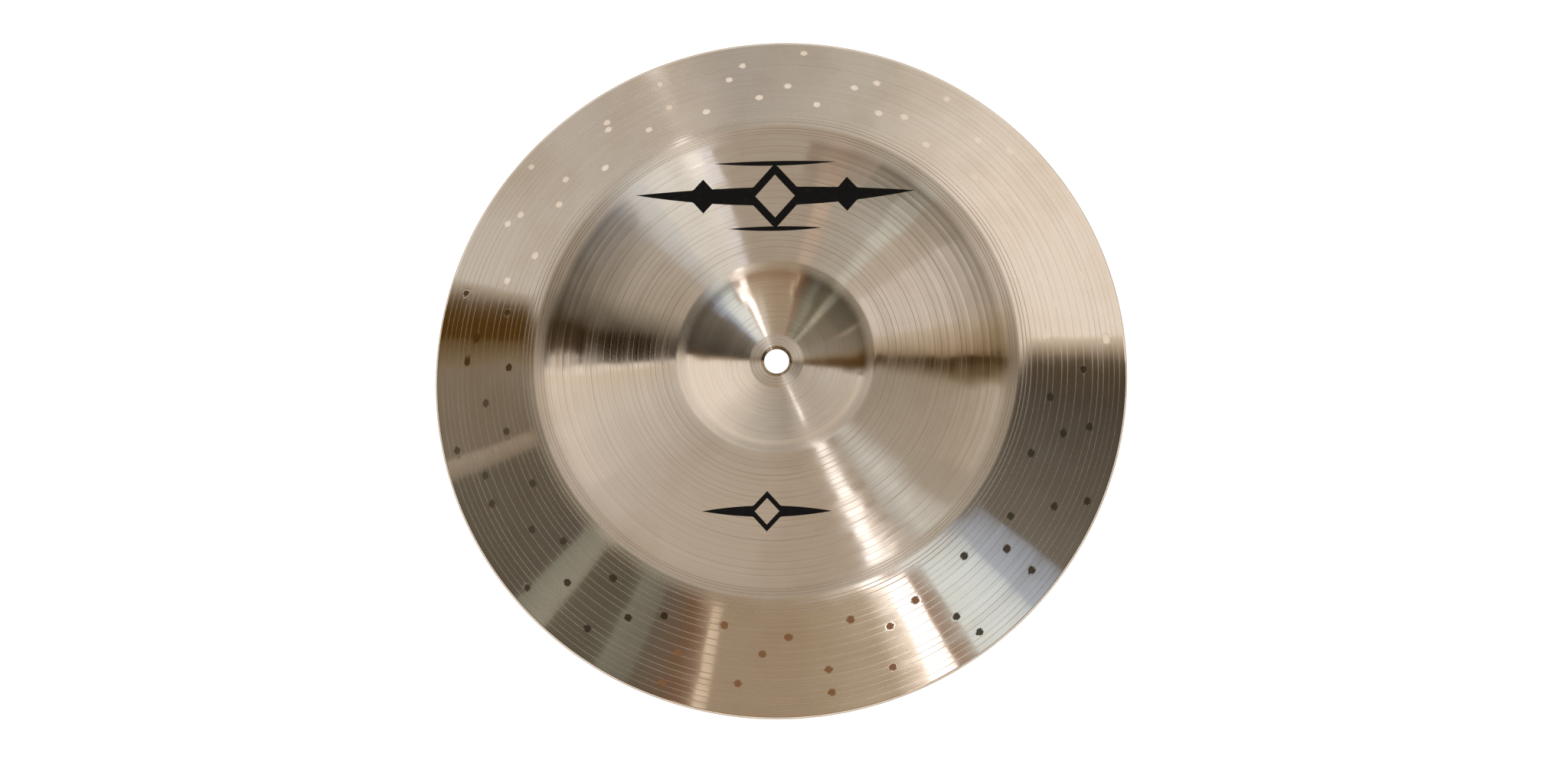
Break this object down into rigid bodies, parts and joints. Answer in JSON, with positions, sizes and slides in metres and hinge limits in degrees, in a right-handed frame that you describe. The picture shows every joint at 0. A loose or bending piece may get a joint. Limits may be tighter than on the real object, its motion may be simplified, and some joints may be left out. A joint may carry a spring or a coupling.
{
  "type": "china cymbal",
  "caption": "Lathed and hammered bronze percussion cymbal with a shallow cup, a sharp crease, a folded-back flange, a central stand hole and black ink prints.",
  "frame": {"origin": "middle of the stand hole, on the flat outer face of the crown, which is the lowest face when the hollow side is up", "axes": "+Z along the axis of the cymbal, out of its hollow, printed side; +Y is the way up of the prints; +X to the right of them"},
  "size_m": [0.3556, 0.3556, 0.024],
  "materials": {
    "bronze": "lathed and brushed, with hammer marks",
    "ink": "screen-printed black ink, semi-matt"
  },
  "bodies": {
    "root": {"cymbal_plate": "bronze", "upper_print": "ink", "lower_print": "ink"}
  },
  "joints": []
}
